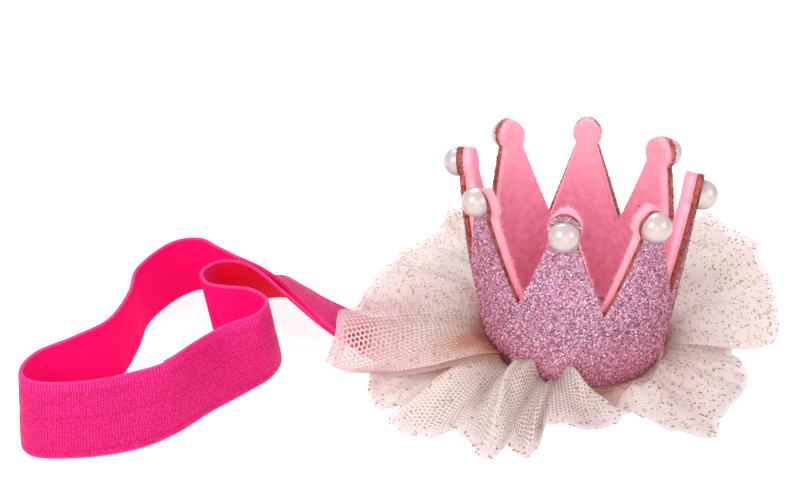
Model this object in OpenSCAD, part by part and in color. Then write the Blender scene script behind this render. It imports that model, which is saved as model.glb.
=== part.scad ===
// Mini crown headband: a flared felt crown with eight pearl-tipped points, glued on a
// gathered tulle ruffle and a plain felt disc, and carried by one loop of elastic.
// X runs along the headband, Y away from the front of the crown, Z up from the table.

/* [Crown] */
// Outer radius of the crown at its base
crown_base_r = 19.5; // [14:0.5:30]
// Outward flare of the crown wall in degrees
crown_flare = 8.4; // [0:0.1:16]
// Sideways lean of the whole crown in degrees, towards the headband
crown_lean = 4.6; // [0:0.1:8]
// Turn of the crown about its own axis in degrees
crown_turn = -15.6; // [-22:0.1:22]
// Height of the V bottoms above the crown's base
valley_h = 18.8; // [12:0.1:26]
// Height of the disc centres above the crown's base
disc_h = 38.6; // [32:0.1:50]
// Radius of the round disc at the end of each point
disc_r = 3.3; // [3:0.1:4.5]
// Width of the neck below each disc
neck_w = 5; // [3:0.1:5.6]
// Thickness of the glitter sheet
glitter_t = 1; // [0.5:0.1:1.5]
// Thickness of the felt wall
felt_t = 2.2; // [1:0.1:3]

/* [Pearls] */
// Diameter of the pearls
pearl_d = 6; // [4:0.1:7]
// Height of a pearl's centre above its flat back
pearl_rise = 0.5; // [0:0.1:1]

/* [Ruffle] */
// Radius that the tulle reaches from the crown's axis
ruffle_r = 47; // [38:0.5:60]
// Height that the back of the ruffle rises above the table
ruffle_h = 18; // [12:0.5:24]
// Thickness of one gathered tier of tulle
tulle_t = 1.2; // [1:0.1:1.5]
// Radius of the felt disc under the ruffle
base_r = 19.5; // [17:0.5:26]
// Thickness of the felt disc under the ruffle
base_t = 1; // [0.8:0.1:2]

/* [Headband] */
// Distance from the crown's axis to the far end of the loop
loop_reach = 112; // [100:1:130]
// Width of the elastic
band_w = 15.2; // [12:0.1:16]
// Thickness of the elastic
band_t = 1; // [0.8:0.1:1.2]
// Gap between the two runs of elastic under the crown
fold_gap = 0.5; // [0.4:0.1:1]

/* [Fit] */
// Gap between glued pieces
glue_gap = 0.1; // [0.05:0.05:0.3]

/* [Hidden] */

// Heights of the stack from the table up
upper_run_z = band_t + fold_gap;
base_z = upper_run_z + band_t + glue_gap;
floor_z = base_z + base_t + glue_gap;
crown_z = floor_z + tulle_t + glue_gap;

// The points of the crown, from the front one round to the right.
// lean: how far its disc stands in from the flared wall, side: how far it turns sideways, rise: how
// much taller it is, all as shares of the point's height; pearl, pearl_up: how far its pearl sits
// sideways and above the disc's middle, as shares of disc_r
POINTS = [
    // lean, side, rise, pearl, pearl_up
    [-0.09, 0.05, 0, 0, -0.24],
    [-0.08, 0.02, -0.025, -0.12, 0.15],
    [-0.02, -0.03, 0.03, 0, -0.25],
    [-0.03, 0, 0, 0, -0.1],
    [-0.07, 0, 0, 0, -0.3],
    [-0.06, 0.02, 0.02, 0, -0.15],
    [-0.06, -0.01, 0, 0, 0],
    [-0.12, -0.05, -0.08, 0.1, 0.44]
];
point_h = disc_h - valley_h;
sector = 360 / len(POINTS);
neck_a = acos(neck_w / 2 / disc_r);
neck_z = disc_h - disc_r * sin(neck_a);
// Last cut of a disc's round top, in degrees above its middle
disc_end = 78;
disc_steps = 7;
wall_cols = 4;

// Rows of the crown wall: height and half width, where the half width below the valleys is a whole sector
function wall_r(z) = crown_base_r + tan(crown_flare) * z;
valley_w = sector / 2 * PI / 180 * wall_r(valley_h);
LOW_ROWS = [for (share = [0, 0.5, 1]) [share * valley_h, 0]];
SIDE_ROWS = [for (share = [1 / 3, 2 / 3])
    [valley_h + share * (neck_z - valley_h), valley_w + share * (neck_w / 2 - valley_w)]];
DISC_ROWS = [for (k = [0:disc_steps]) let (a = -neck_a + k / disc_steps * (disc_end + neck_a))
    [disc_h + disc_r * sin(a), disc_r * cos(a)]];
HIGH_ROWS = concat(SIDE_ROWS, DISC_ROWS);

// A place on the crown wall: point i, turn degrees to its side, height z and distance off outside
// the glitter face
function wall_place(i, turn, z, off) =
    let (up = max(0, (z - valley_h) / point_h),
         lean = POINTS[i][0], side = POINTS[i][1], rise = POINTS[i][2],
         slope = tan(crown_flare) + (z > valley_h ? lean : 0),
         across = 1 / sqrt(1 + slope * slope),
         r = wall_r(z) + lean * point_h * up + off * across,
         h = z + rise * point_h * up - off * slope * across * min(1, z / valley_h),
         a = crown_turn + i * sector + turn + side * point_h * up / r * 180 / PI)
    [r * sin(a) - tan(crown_lean) * h, -r * cos(a), crown_z + h];

// One closed layer of the crown wall between two distances from the glitter face
module crown_layer(off_out, off_in) {
    count = len(POINTS);
    around = count * wall_cols;
    low = len(LOW_ROWS);
    high = len(HIGH_ROWS);
    cols = wall_cols + 1;
    low_count = low * around;
    total = low_count + count * high * cols;
    function side_points(off) = concat(
        [for (j = [0:low - 1], k = [0:around - 1])
            let (i = floor(k / wall_cols), c = k % wall_cols)
            wall_place(i, (c / wall_cols - 0.5) * sector, LOW_ROWS[j][0], off)],
        [for (i = [0:count - 1], j = [0:high - 1], c = [0:wall_cols])
            let (w = HIGH_ROWS[j][1] * (2 * c / wall_cols - 1))
            wall_place(i, w / wall_r(HIGH_ROWS[j][0]) * 180 / PI, HIGH_ROWS[j][0], off)]);
    function id(i, j, c) = j < low
        ? j * around + (i * wall_cols + c) % around
        : low_count + (i * high + j - low) * cols + c;
    rows = low + high;
    outer = [for (i = [0:count - 1], j = [0:rows - 2], c = [0:wall_cols - 1]) each [
        [id(i, j, c), id(i, j + 1, c + 1), id(i, j, c + 1)],
        [id(i, j, c), id(i, j + 1, c), id(i, j + 1, c + 1)]]];
    inner = [for (f = outer) [f[0] + total, f[2] + total, f[1] + total]];
    bottom = [for (i = [0:count - 1], c = [0:wall_cols - 1]) each rim(id(i, 0, c), id(i, 0, c + 1), total)];
    top = [for (i = [0:count - 1], c = [0:wall_cols - 1])
        each rim(id(i, rows - 1, c + 1), id(i, rows - 1, c), total)];
    right = [for (i = [0:count - 1], j = [low - 1:rows - 2])
        each rim(id(i, j, wall_cols), id(i, j + 1, wall_cols), total)];
    left = [for (i = [0:count - 1], j = [low - 1:rows - 2]) each rim(id(i, j + 1, 0), id(i, j, 0), total)];
    polyhedron(points = concat(side_points(off_out), side_points(off_in)),
               faces = concat(outer, inner, bottom, top, right, left));
}

// The two triangles of an edge strip from outer corners a to b to the same corners of the inner side
function rim(a, b, total) = [[a, b, b + total], [a, b + total, a + total]];

module crown_glitter() {
    color([0.82, 0.5, 0.66]) centred() crown_layer(0, -glitter_t);
}

module crown_felt() {
    color([0.97, 0.6, 0.71]) centred() crown_layer(-glitter_t - glue_gap, -glitter_t - glue_gap - felt_t);
}

module pearl(i) {
    shift = POINTS[i][3] * disc_r / wall_r(disc_h) * 180 / PI;
    place = wall_place(i, shift, disc_h + POINTS[i][4] * disc_r, glue_gap);
    turn = crown_turn + i * sector + shift + POINTS[i][1] * point_h / wall_r(disc_h) * 180 / PI;
    slope = atan(tan(crown_flare) + POINTS[i][0] - tan(crown_lean) * sin(turn));
    color([0.93, 0.89, 0.87]) centred()
        translate(place) rotate([0, 0, turn]) rotate([90 + slope, 0, 0])
            intersection() {
                translate([0, 0, pearl_rise]) sphere(d = pearl_d, $fn = 48);
                cylinder(r = pearl_d, h = 2 * pearl_d, $fn = 48);
            }
}

// The hems of the ruffle's two tiers, each a row per fold.
// azimuth: degrees from the front, positive to the right; reach: hem radius as a share of ruffle_r;
// rise: height of the hem above the table, puff: how far the tulle swells up between collar and hem,
// both as shares of ruffle_h; sweep: degrees that the fold is turned at the collar
UPPER_HEM = [
    // azimuth, reach, rise, puff, sweep
    [85, 0.935, 0.22, 0.20, -20],
    [88, 0.965, 0.25, 0.20, -17],
    [92, 0.985, 0.32, 0.18, -13],
    [97, 1.01, 0.38, 0.14, -9],
    [102, 1.04, 0.42, 0.10, -5],
    [108, 1.08, 0.49, 0.08, -2],
    [112, 1.065, 0.66, 0.05, 0],
    [115, 1.065, 0.85, 0.03, 0],
    [120, 1.04, 0.85, 0.03, 0],
    [126, 1.015, 0.92, 0.02, 0],
    [131, 1.03, 0.96, 0.02, 0],
    [136, 1.00, 0.68, 0.06, 0],
    [150, 0.96, 0.60, 0.06, 0],
    [180, 0.97, 0.48, 0.06, 0],
    [198, 1.00, 0.52, 0.06, 0],
    [208, 1.03, 0.68, 0.05, 0],
    [212, 1.045, 0.66, 0.05, 0],
    [215.5, 1.045, 0.43, 0.08, 0],
    [221, 1.04, 0.35, 0.10, 0],
    [230, 1.04, 0.39, 0.10, 0],
    [240, 1.035, 0.35, 0.14, 0],
    [250, 1.03, 0.32, 0.18, 0],
    [259, 1.035, 0.33, 0.18, 1],
    [264, 1.04, 0.38, 0.14, 2],
    [266.5, 1.12, 0.38, 0.14, 3],
    [270, 1.12, 0.43, 0.14, 4],
    [274.5, 1.125, 0.38, 0.20, 6],
    [277, 1.145, 0.28, 0.24, 8],
    [278.5, 1.165, 0.18, 0.27, 10],
    [280, 1.185, 0.12, 0.28, 12],
    [282, 1.14, 0.12, 0.28, 14],
    [286, 1.01, 0.14, 0.28, 24]
];
LOWER_HEM = [
    // azimuth, reach, rise, puff, sweep
    [-180, 0.86, 0.30, 0, 0],
    [-110, 0.82, 0.27, 0, 0],
    [-92, 0.83, 0.30, 0, 0],
    [-84, 0.86, 0.30, 0.04, 0],
    [-79, 0.90, 0.22, 0.08, 0],
    [-75, 0.99, 0.04, 0.13, 0],
    [-68, 1.03, 0.02, 0.14, 0],
    [-63.5, 1.03, 0.02, 0.14, 0],
    [-61, 0.93, 0.05, 0.14, 0],
    [-58, 1.03, 0.02, 0.15, 0],
    [-52, 1.02, 0.02, 0.18, 0],
    [-47, 0.97, 0.02, 0.18, 0],
    [-44, 0.86, 0.04, 0.16, 0],
    [-38, 0.87, 0.03, 0.26, 0],
    [-31.5, 0.92, 0.02, 0.22, 0],
    [-29.5, 0.90, 0.02, 0.18, 0],
    [-28, 0.79, 0.04, 0.12, 0],
    [-25, 0.82, 0.02, 0.20, 0],
    [-21, 0.84, 0.02, 0.24, 0],
    [-18.8, 0.77, 0.04, 0.20, 0],
    [-17, 0.755, 0.36, 0.16, 0],
    [-12.5, 0.765, 0.43, 0.18, 0],
    [-1, 0.765, 0.39, 0.06, 0],
    [4, 0.755, 0.44, 0.06, 0],
    [8, 0.72, 0.48, 0.04, 0],
    [11, 0.70, 0.44, 0.04, 0],
    [14, 0.745, 0.44, 0.08, 0],
    [20, 0.85, 0.44, 0.10, 0],
    [28, 0.935, 0.44, 0.12, 0],
    [30, 0.915, 0.44, 0.12, 0],
    [34, 0.865, 0.44, 0.10, 0],
    [42, 0.84, 0.42, 0.08, 0],
    [49, 0.825, 0.39, 0.08, 0],
    [57, 0.81, 0.33, 0.06, 0],
    [66, 0.795, 0.27, 0.05, 0],
    [72, 0.765, 0.25, 0.03, 0],
    [76, 0.72, 0.25, 0.02, 0],
    [90, 0.72, 0.26, 0, 0],
    [110, 0.82, 0.28, 0, 0],
    [180, 0.86, 0.30, 0, 0]
];
upper_collar_r = crown_base_r + 5 * glue_gap;
lower_collar_r = max(crown_base_r, base_r) + 5 * glue_gap;
ruffle_rings = 6;
fold_step = 4;
pleats = 15;
pleat_h = 0.04 * ruffle_h;

// The folds of a tier with smooth waves between the rows of its table, at most fold_step degrees apart
function folds(table) = concat(
    [for (k = [0:len(table) - 2])
        let (a = table[k], b = table[k + 1], count = ceil((b[0] - a[0]) / fold_step))
        for (s = [0:count - 1])
            let (share = s / count, wave = (1 - cos(180 * share)) / 2)
            [a[0] + (b[0] - a[0]) * share, for (c = [1:4]) a[c] + (b[c] - a[c]) * wave]],
    [table[len(table) - 1]]);

// The place on the underside of a tier in one of its folds, from the collar (ring 0) to the hem
function tulle_place(fold, collar_r, start_z, ring) =
    let (u = pow(ring / ruffle_rings, 1.4),
         r = collar_r + (fold[1] * ruffle_r - collar_r) * u,
         a = fold[0] + fold[4] * (1 - pow(u, 1.5)),
         swell = sin(180 * pow(u, 0.6)),
         z = start_z + (fold[2] * ruffle_h - start_z) * u
             + (fold[3] * ruffle_h + pleat_h * cos(fold[0] * pleats)) * swell)
    [r * sin(a), -r * cos(a), z];

LOWER_FOLDS = folds(LOWER_HEM);
UPPER_FOLDS = folds(UPPER_HEM);
lower_cols = len(LOWER_FOLDS) - 1;
upper_cols = len(UPPER_FOLDS) - 1;
LOWER_PLACES = [for (k = [0:lower_cols - 1], j = [0:ruffle_rings])
    tulle_place(LOWER_FOLDS[k], lower_collar_r, floor_z, j)];
UPPER_PLACES = [for (k = [0:upper_cols], j = [0:ruffle_rings])
    tulle_place(UPPER_FOLDS[k], upper_collar_r, crown_z, j)];

function lifted(places, height) = [for (p = places) p + [0, 0, height]];

module ruffle_lower() {
    rows = ruffle_rings + 1;
    total = len(LOWER_PLACES) + 1;
    middle = total - 1;
    function id(k, j) = (k % lower_cols) * rows + j;
    under = concat(
        [for (k = [0:lower_cols - 1], j = [0:ruffle_rings - 1]) each [
            [id(k, j), id(k, j + 1), id(k + 1, j + 1)],
            [id(k, j), id(k + 1, j + 1), id(k + 1, j)]]],
        [for (k = [0:lower_cols - 1]) [middle, id(k, 0), id(k + 1, 0)]]);
    over = [for (f = under) [f[0] + total, f[2] + total, f[1] + total]];
    edge = [for (k = [0:lower_cols - 1]) each rim(id(k + 1, ruffle_rings), id(k, ruffle_rings), total)];
    places = concat(LOWER_PLACES, [[0, 0, floor_z]]);
    color([0.93, 0.87, 0.82]) centred()
        polyhedron(points = concat(places, lifted(places, tulle_t)), faces = concat(under, over, edge));
}

module ruffle_upper() {
    rows = ruffle_rings + 1;
    total = len(UPPER_PLACES);
    function id(k, j) = k * rows + j;
    under = [for (k = [0:upper_cols - 1], j = [0:ruffle_rings - 1]) each [
        [id(k, j), id(k, j + 1), id(k + 1, j + 1)],
        [id(k, j), id(k + 1, j + 1), id(k + 1, j)]]];
    over = [for (f = under) [f[0] + total, f[2] + total, f[1] + total]];
    edges = concat(
        [for (k = [0:upper_cols - 1]) each rim(id(k + 1, ruffle_rings), id(k, ruffle_rings), total)],
        [for (k = [0:upper_cols - 1]) each rim(id(k, 0), id(k + 1, 0), total)],
        [for (j = [0:ruffle_rings - 1]) each rim(id(0, j + 1), id(0, j), total)],
        [for (j = [0:ruffle_rings - 1]) each rim(id(upper_cols, j), id(upper_cols, j + 1), total)]);
    color([0.94, 0.89, 0.84]) centred()
        polyhedron(points = concat(UPPER_PLACES, lifted(UPPER_PLACES, tulle_t)),
                   faces = concat(under, over, edges));
}

module felt_base() {
    color([0.95, 0.75, 0.8]) centred()
        translate([0, 0, base_z]) cylinder(r = base_r, h = base_t, $fn = 96);
}

// The elastic's route, from the run under the felt disc out along the back strand, round the loop's
// far end, back along the front strand, through the curl and in again under the back strand to the
// fold on the right. x, y: middle of the elastic from the crown's axis, as shares of loop_reach;
// lift: height of its lower edge as a share of the upper run's height; lean_x, lean_y: how far its
// upper edge stands out over the lower one, as shares of band_w
BAND = [
    // x, y, lift, lean_x, lean_y
    [0.125, 0, 1, 0, -1],
    [0.10, 0, 1, 0, -1],
    [0.05, 0, 1, 0, -1],
    [-0.05, 0, 1, 0, -1],
    [-0.18, 0, 1, 0, -1],
    [-0.30, 0.005, 1, 0, -1],
    [-0.40, 0.015, 1, 0.02, -0.997],
    [-0.485, 0.055, 1.9, 0.03, -0.97],
    [-0.55, 0.128, 1.5, 0.08, -0.935],
    [-0.60, 0.185, 1, 0.12, -0.88],
    [-0.64, 0.185, 0.3, 0.08, -0.68],
    [-0.685, 0.17, 0, 0, -0.35],
    [-0.73, 0.185, 0, 0, -0.15],
    [-0.775, 0.213, 0, 0, -0.06],
    [-0.83, 0.185, 0, -0.05, 0.05],
    [-0.875, 0.09, 0, -0.05, 0.02],
    [-0.875, -0.005, 0, 0, 0.05],
    [-0.89, -0.10, 0, -0.02, 0.10],
    [-0.94, -0.16, 0, -0.03, 0.17],
    [-0.995, -0.21, 0, -0.02, 0.24],
    [-1.01, -0.265, 0, 0.05, 0.28],
    [-0.975, -0.297, 0, 0.05, 0.40],
    [-0.89, -0.295, 0, 0, 0.44],
    [-0.815, -0.27, 0, -0.12, 0.50],
    [-0.755, -0.24, 0, -0.10, 0.33],
    [-0.71, -0.18, 0, -0.22, 0.34],
    [-0.66, -0.12, 0, -0.33, 0.41],
    [-0.605, -0.08, 0, -0.20, 0.15],
    [-0.595, -0.027, 0, -0.15, 0.05],
    [-0.633, 0.009, 0, -0.10, 0.05],
    [-0.69, 0.02, 0, -0.07, 0.03],
    [-0.723, 0.035, 0, -0.10, 0],
    [-0.739, 0.074, 0, -0.12, 0],
    [-0.723, 0.112, 0, -0.05, -0.03],
    [-0.69, 0.13, 0, 0.07, -0.16],
    [-0.645, 0.138, 0.1, 0.12, -0.5],
    [-0.575, 0.116, 0.5, 0.04, -0.84],
    [-0.51, 0.075, 0.2, 0, -0.94],
    [-0.445, 0.037, 0, -0.03, -0.98],
    [-0.36, 0.006, 0.15, 0, -1],
    [-0.18, 0, 0, 0, -1],
    [-0.05, 0, 0, 0, -1],
    [0.05, 0, 0, 0, -1],
    [0.10, 0, 0, 0, -1],
    [0.125, 0, 0, 0, -1],
    [0.138, 0, 0, 0, -1],
    [0.144, 0, 0, 0, -1],
    [0.148, 0, 0, 0, -1],
    [0.153, 0, 0.15, 0, -1],
    [0.155, 0, 0.5, 0, -1],
    [0.153, 0, 0.85, 0, -1],
    [0.148, 0, 1, 0, -1],
    [0.144, 0, 1, 0, -1],
    [0.138, 0, 1, 0, -1]
];
band_steps = 4;

function unit(v) = v / norm(v);

// Middle and width direction of the elastic at one row
function band_row(k) =
    let (row = BAND[k % len(BAND)],
         up = sqrt(max(0, 1 - row[3] * row[3] - row[4] * row[4])),
         z = row[2] * upper_run_z + up * band_w / 2 + sqrt(1 - up * up) * band_t / 2)
    [[row[0] * loop_reach, row[1] * loop_reach, z], [row[3], row[4], up]];

// Smooth curve through four rows, t from the second to the third
function through(a, b, c, d, t) =
    b + t / 2 * (c - a + t * (2 * a - 5 * b + 4 * c - d + t * (3 * (b - c) + d - a)));

BAND_LINE = [for (k = [0:len(BAND) - 1], s = [0:band_steps - 1])
    let (a = band_row(k + len(BAND) - 1), b = band_row(k), c = band_row(k + 1), d = band_row(k + 2),
         t = s / band_steps)
    [through(a[0], b[0], c[0], d[0], t), unit(through(a[1], b[1], c[1], d[1], t))]];
band_count = len(BAND_LINE);

// The four corners of the elastic's section at each station
BAND_PLACES = [for (k = [0:band_count - 1])
    let (here = BAND_LINE[k],
         along = BAND_LINE[(k + 1) % band_count][0] - BAND_LINE[(k + band_count - 1) % band_count][0],
         out = unit(cross(along, here[1])) * band_t / 2,
         half = here[1] * band_w / 2)
    each [here[0] - half - out, here[0] - half + out, here[0] + half + out, here[0] + half - out]];

module headband() {
    function id(k, c) = (k % band_count) * 4 + c % 4;
    color([0.93, 0.16, 0.57]) centred()
        polyhedron(points = BAND_PLACES,
                   faces = [for (k = [0:band_count - 1], c = [0:3]) each [
                       [id(k, c), id(k + 1, c + 1), id(k + 1, c)],
                       [id(k, c), id(k, c + 1), id(k + 1, c + 1)]]]);
}

// Middle of the whole part on the table, which is the origin
EDGE_PLACES = concat(LOWER_PLACES, UPPER_PLACES, BAND_PLACES);
EDGE_X = [for (p = EDGE_PLACES) p[0]];
EDGE_Y = [for (p = EDGE_PLACES) p[1]];
mid_x = (min(EDGE_X) + max(EDGE_X)) / 2;
mid_y = (min(EDGE_Y) + max(EDGE_Y)) / 2;

module centred() {
    translate([-mid_x, -mid_y, 0]) children();
}

crown_felt();
crown_glitter();
for (i = [0:len(POINTS) - 1]) pearl(i);
ruffle_upper();
ruffle_lower();
felt_base();
headband();
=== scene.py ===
# %% [markdown]
# # A mini crown headband
# A small felt crown with a pearl on every point sits on two gathered tiers of tulle, and a loop of
# hot pink elastic carries it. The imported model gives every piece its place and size. This lesson makes
# what the eye sees on them: cut felt, glitter sheet, pearl lustre, net with gold specks, ribbed elastic.

# %% Frame and tools
import math
import bmesh
import bpy
import numpy as np
from mathutils import Matrix, Vector, noise


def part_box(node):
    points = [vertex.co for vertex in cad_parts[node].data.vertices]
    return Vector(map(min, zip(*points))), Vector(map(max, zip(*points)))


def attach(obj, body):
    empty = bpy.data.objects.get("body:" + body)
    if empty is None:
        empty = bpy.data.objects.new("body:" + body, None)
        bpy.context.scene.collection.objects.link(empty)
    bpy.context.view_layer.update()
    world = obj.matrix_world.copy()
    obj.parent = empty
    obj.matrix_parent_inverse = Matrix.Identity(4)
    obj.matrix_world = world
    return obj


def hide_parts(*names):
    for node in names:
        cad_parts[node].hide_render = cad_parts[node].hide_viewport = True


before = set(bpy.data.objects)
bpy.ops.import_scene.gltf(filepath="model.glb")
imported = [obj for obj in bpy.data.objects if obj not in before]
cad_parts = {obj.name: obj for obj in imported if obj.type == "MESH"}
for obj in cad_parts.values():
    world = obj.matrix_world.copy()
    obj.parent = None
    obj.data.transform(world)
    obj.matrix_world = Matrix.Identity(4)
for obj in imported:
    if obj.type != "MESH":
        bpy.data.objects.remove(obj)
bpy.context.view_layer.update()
print("nodes:", len(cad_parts))

# %% [markdown]
# Sizes below are in millimetres from the crown's axis and up from the table, as a maker would measure
# them. One function turns them into the frame's metres. The axis is the middle of the felt disc.

# %% Units and axis
MM = 0.001
disc_low, disc_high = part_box("felt_base")
AXIS = np.array([(disc_low.x + disc_high.x) / 2, (disc_low.y + disc_high.y) / 2, 0])
BAND_T, RUN_Z = 1.0, 1.5
DISC_TOP = disc_high.z / MM
FLOOR_Z = DISC_TOP + 0.1
CROWN_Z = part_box("crown_felt")[0].z / MM


def in_frame(places):
    """Places in millimetres from the crown's axis, as metres in the frame."""
    return np.asarray(places, float) * MM + AXIS


print("crown axis", AXIS.round(4), "tulle floor", round(FLOOR_Z, 2), "crown floor", round(CROWN_Z, 2))

# %% [markdown]
# The camera stands where the photograph's did: about 30 degrees above the crown, 45 mm lens. It was
# placed from the crown's base circle and points, so each piece falls on its place in the picture.

# %% Camera
CAMERA_PLACE = (-38.80, -183.36, 134.93)
CAMERA_DOWN = math.radians(30.16)
CAMERA_ROLL = math.radians(0.23)
CAMERA_LENS = 45.0

camera = bpy.data.objects.new("camera", bpy.data.cameras.new("camera"))
camera.data.lens = CAMERA_LENS
camera.data.sensor_width = 36.0
camera.data.clip_start = 0.01
turned = Matrix.Rotation(math.pi / 2 - CAMERA_DOWN, 4, "X") @ Matrix.Rotation(CAMERA_ROLL, 4, "Z")
camera.matrix_world = Matrix.Translation(Vector(in_frame(CAMERA_PLACE))) @ turned
bpy.context.scene.collection.objects.link(camera)
bpy.context.scene.camera = camera
print("camera:", CAMERA_LENS, "mm lens,", round(math.degrees(CAMERA_DOWN), 1), "degrees down")

# %% [markdown]
# The photograph is a product shot on a white light table, with practically no shadow. The pale floor
# glows a little, as such a table does, an even white surround fills in, and two soft lights give the
# shapes their roundness: the left one is the brighter, as the pearls' highlights show. A wide, weak one
# beside the camera lights the front of the crown, and one behind shines through the tulle.

# %% Floor and light
FLOOR_HALF, FLOOR_SINK = 1.5, 0.00012
SURROUND = 0.63
floor_mesh = bpy.data.meshes.new("floor")
floor_mesh.from_pydata([(x * FLOOR_HALF, y * FLOOR_HALF, -FLOOR_SINK)
                        for x, y in ((-1, -1), (1, -1), (1, 1), (-1, 1))], [], [(0, 1, 2, 3)])
floor = bpy.data.objects.new("floor", floor_mesh)
bpy.context.scene.collection.objects.link(floor)


def softbox(name, place, aim, size, power):
    """A square area light at place that looks at aim, both in metres."""
    light = bpy.data.objects.new(name, bpy.data.lights.new(name, "AREA"))
    light.data.size = size
    light.data.energy = power
    light.location = place
    light.rotation_euler = (Vector(aim) - Vector(place)).to_track_quat("-Z", "Y").to_euler()
    bpy.context.scene.collection.objects.link(light)


softbox("softbox_left", (-0.42, -0.36, 0.42), (0.02, 0, 0.02), 0.42, 2.5)
softbox("softbox_right", (0.48, -0.34, 0.36), (0.02, 0, 0.02), 0.36, 1.3)
softbox("softbox_front", (0.05, -0.70, 0.26), (0.03, 0, 0.02), 0.55, 1.4)
softbox("softbox_back", (-0.10, 0.45, 0.55), (0.0, 0, 0.0), 0.40, 3.0)
world = bpy.data.worlds.new("surround")
world.use_nodes = True
world.node_tree.nodes["Background"].inputs["Color"].default_value = (1, 1, 1, 1)
world.node_tree.nodes["Background"].inputs["Strength"].default_value = SURROUND
bpy.context.scene.world = world
bpy.context.scene.view_settings.view_transform = "Standard"
bpy.context.scene.cycles.transparent_max_bounces = 32
bpy.context.scene.cycles.use_denoising = True
print("lights:", len(bpy.data.lights))

# %% [markdown]
# Every surface piece here is a grid of places bent into shape, so one helper makes the mesh: it takes
# rows and columns of places, joins neighbours into quads, and lays a UV map in millimetres, which lets
# a net or a rib keep its real size.

# %% Mesh helpers
WELD_GAP = 0.002


def grid_quads(rows, cols, ring_rows=False, ring_cols=False):
    """Corner numbers of the quads of a grid, and the same corners counted on past a closed end."""
    r, c = np.meshgrid(np.arange(rows - (not ring_rows)), np.arange(cols - (not ring_cols)), indexing="ij")
    r, c = r.ravel(), c.ravel()
    corners = np.stack([np.stack(pair, 1) for pair in ((r, c), (r + 1, c), (r + 1, c + 1), (r, c + 1))], 1)
    return (corners[:, :, 0] % rows) * cols + corners[:, :, 1] % cols, corners


def mesh_piece(name, places, faces, uvs=None, slots=None, materials=(), smooth=True):
    """A mesh object from places in millimetres; uvs has one pair for each corner of each face."""
    mesh = bpy.data.meshes.new(name)
    mesh.from_pydata(in_frame(places), [], np.asarray(faces).tolist())
    if uvs is not None:
        layer = mesh.uv_layers.new(name="millimetres")
        layer.data.foreach_set("uv", np.asarray(uvs, np.float32).ravel())
    if slots is not None:
        mesh.polygons.foreach_set("material_index", np.asarray(slots, np.int32))
    mesh.polygons.foreach_set("use_smooth", np.full(len(mesh.polygons), smooth))
    for material in materials:
        mesh.materials.append(material)
    piece = bpy.data.objects.new(name, mesh)
    bpy.context.scene.collection.objects.link(piece)
    mesh.update()
    return piece


def point_values(piece, name, values):
    """Keeps one number for each vertex, which a material reads by its name."""
    piece.data.attributes.new(name, "FLOAT", "POINT").data.foreach_set(
        "value", np.asarray(values, np.float32).ravel())


def weld(piece):
    """Joins vertices nearer than WELD_GAP millimetres, so that patches become one surface."""
    made = bmesh.new()
    made.from_mesh(piece.data)
    bmesh.ops.remove_doubles(made, verts=made.verts, dist=WELD_GAP * MM)
    made.to_mesh(piece.data)
    made.free()

# %% [markdown]
# Materials are built from nodes. Colours are noted as they look on a screen, from 0 to 255, and a
# helper turns them into the linear values that the shader wants. A socket knows its own node tree, so
# a helper that is given a socket adds its node there.

# %% Material helpers


def colour(red, green, blue):
    """A screen colour, 0 to 255, as the linear colour that shaders take."""
    def linear(c):
        return c / 12.92 if c <= 0.04045 else ((c + 0.055) / 1.055) ** 2.4
    return tuple(linear(c / 255) for c in (red, green, blue)) + (1.0,)


def feed(made, inputs):
    """Sets a node's inputs: each, by name or number, gets a value or the socket that feeds it."""
    for key, value in inputs.items():
        if isinstance(value, bpy.types.NodeSocket):
            made.id_data.links.new(value, made.inputs[key])
        else:
            made.inputs[key].default_value = value
    return made


def node(tree, kind, inputs=None, **settings):
    """A new node with its settings made and its inputs fed."""
    made = tree.nodes.new("ShaderNode" + kind)
    for key, value in settings.items():
        setattr(made, key, value)
    return feed(made, inputs or {})


def new_material(name):
    """An empty material with its Principled shader wired to the output."""
    material = bpy.data.materials.new(name)
    material.use_nodes = True
    tree = material.node_tree
    tree.nodes.clear()
    shader = node(tree, "BsdfPrincipled")
    node(tree, "OutputMaterial", {"Surface": shader.outputs[0]})
    return material, tree, shader


print("the felt's pale pink, as a shader takes it:", [round(part, 3) for part in colour(255, 200, 212)])

# %% [markdown]
# The floor is plain matt white and glows evenly.

# %% Floor finish
floor_white, tree, shader = new_material("floor_white")
feed(shader, {"Base Color": (0.45, 0.45, 0.45, 1), "Roughness": 0.9, "Specular IOR Level": 0.1,
              "Emission Color": (1, 1, 1, 1), "Emission Strength": 0.80})
floor_mesh.materials.append(floor_white)
print("finish of the floor:", floor_white.name)

# %% [markdown]
# An effect that several finishes share is a node group with named sockets. Inside it, and in the finishes
# too, most nodes are plain sums on sockets, so each kind gets a short helper.

# %% Group helpers


def calc(operation, *values):
    """The result of one sum on sockets and numbers."""
    tree = next(value for value in values if isinstance(value, bpy.types.NodeSocket)).id_data
    return node(tree, "Math", dict(enumerate(values)), operation=operation).outputs[0]


def times(first, second):
    return calc("MULTIPLY", first, second)


def plus(first, second):
    return calc("ADD", first, second)


def clamped(value):
    """value kept between 0 and 1."""
    return node(value.id_data, "Clamp", {"Value": value}).outputs[0]


def mixed(share, first, second, blend="MIX"):
    """A colour between first and second."""
    return node(share.id_data, "Mix", {0: share, 6: first, 7: second}, data_type="RGBA",
                blend_type=blend).outputs[2]


def noisy(vector, scale, detail, roughness=0.5, distortion=0.0):
    """Smooth noise over places."""
    return node(vector.id_data, "TexNoise", {"Vector": vector, "Scale": scale, "Detail": detail,
                                             "Roughness": roughness, "Distortion": distortion}).outputs["Fac"]


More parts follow.
